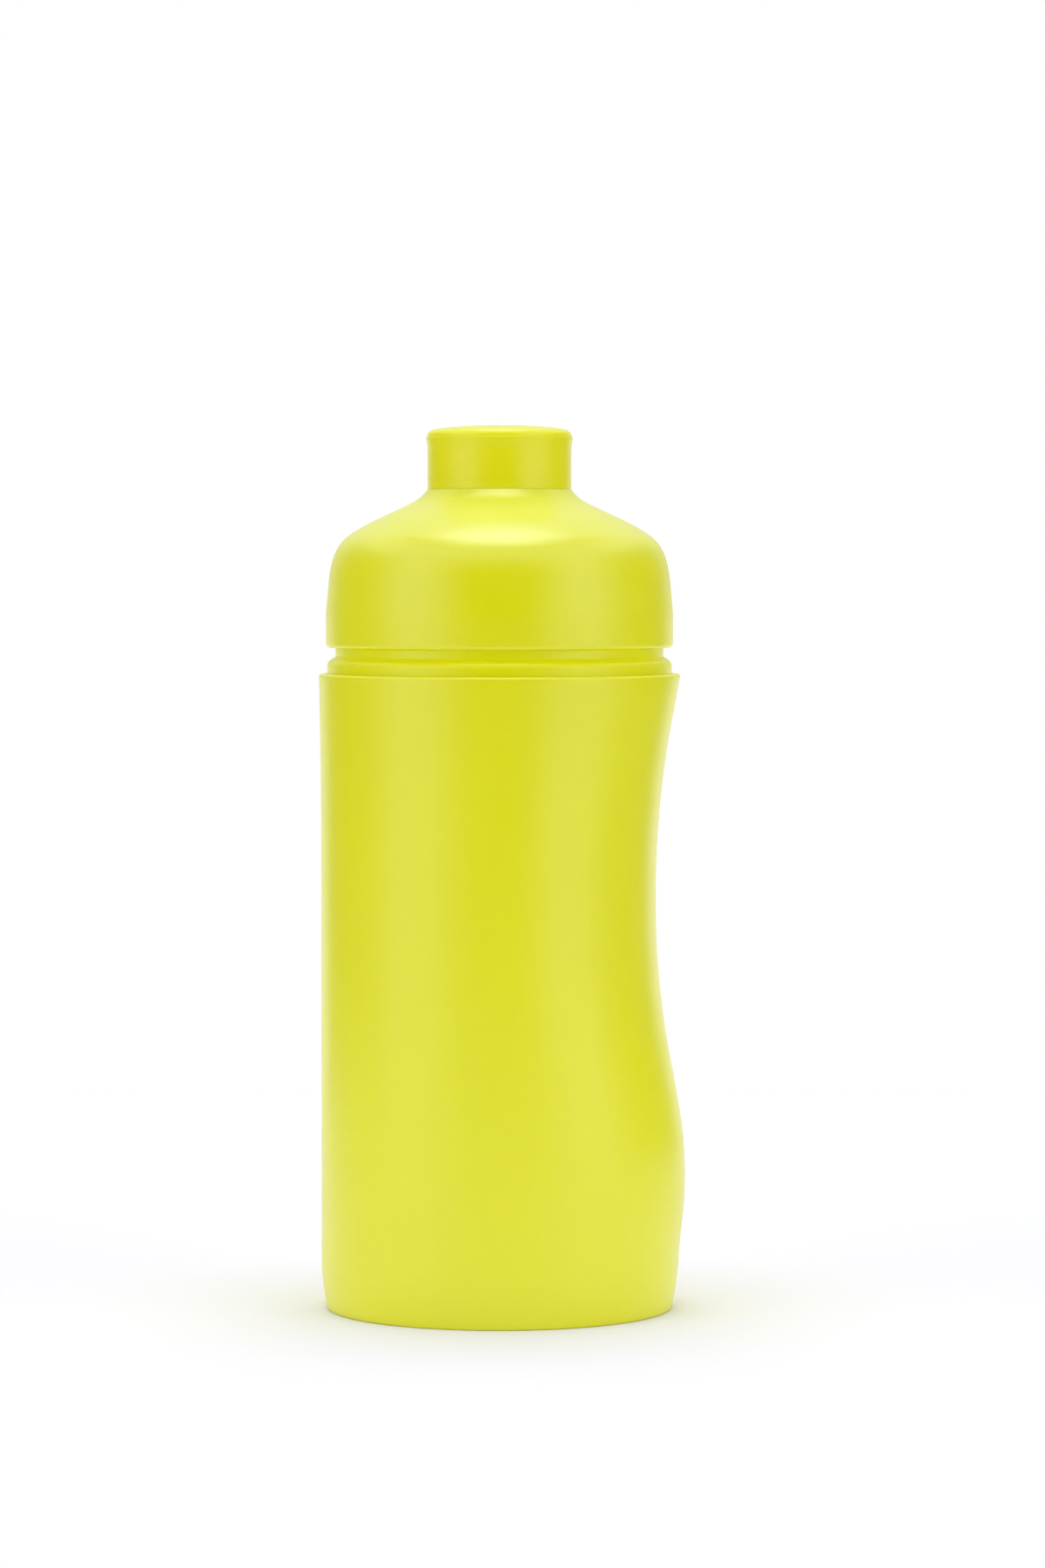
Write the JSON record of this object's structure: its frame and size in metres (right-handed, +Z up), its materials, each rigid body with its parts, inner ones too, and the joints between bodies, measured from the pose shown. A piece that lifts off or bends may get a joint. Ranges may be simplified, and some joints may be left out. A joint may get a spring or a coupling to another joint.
{
  "type": "water bottle",
  "caption": "Squeeze water bottle with a finger grip on one side, a screw neck, a domed screw cap and a push-pull spout with a soft tip.",
  "frame": {"origin": "on the bottle's axis, on the surface it stands on", "axes": "+Z up along the bottle's axis, +X towards the side with the finger grip"},
  "size_m": [0.0749, 0.0738, 0.1804],
  "materials": {
    "shell_plastic": "satin lime-yellow polyethylene",
    "soft_plastic": "matte lime-yellow soft plastic",
    "seal_silicone": "matte off-white silicone"
  },
  "bodies": {
    "bottle": {"body_shell": "shell_plastic", "neck_ring": "shell_plastic", "neck_seal": "seal_silicone"},
    "gasket": {"cap_gasket": "seal_silicone"},
    "cap": {"cap_shell": "shell_plastic", "valve_post": "shell_plastic", "plug_seal": "seal_silicone", "spout_seal": "seal_silicone"},
    "spout": {"spout_sleeve": "shell_plastic", "spout_stop_ring": "shell_plastic", "soft_tip": "soft_plastic"}
  },
  "joints": [
    {"name": "cap_rise", "type": "slide", "parent": "bottle", "child": "gasket", "axis": [0, 0, 1], "range_m": [0, 0.0125]},
    {"name": "cap_turn", "type": "hinge", "parent": "gasket", "child": "cap", "pos_m": [0, 0, 0.14], "axis": [0, 0, 1], "range_deg": [0, 900]},
    {"name": "spout_pull", "type": "slide", "parent": "cap", "child": "spout", "axis": [0, 0, 1], "range_m": [0, 0.0045]}
  ],
  "couplings": [
    {"joint": "cap_rise", "follows": "cap_turn", "m_per_rad": 0.00079577}
  ]
}
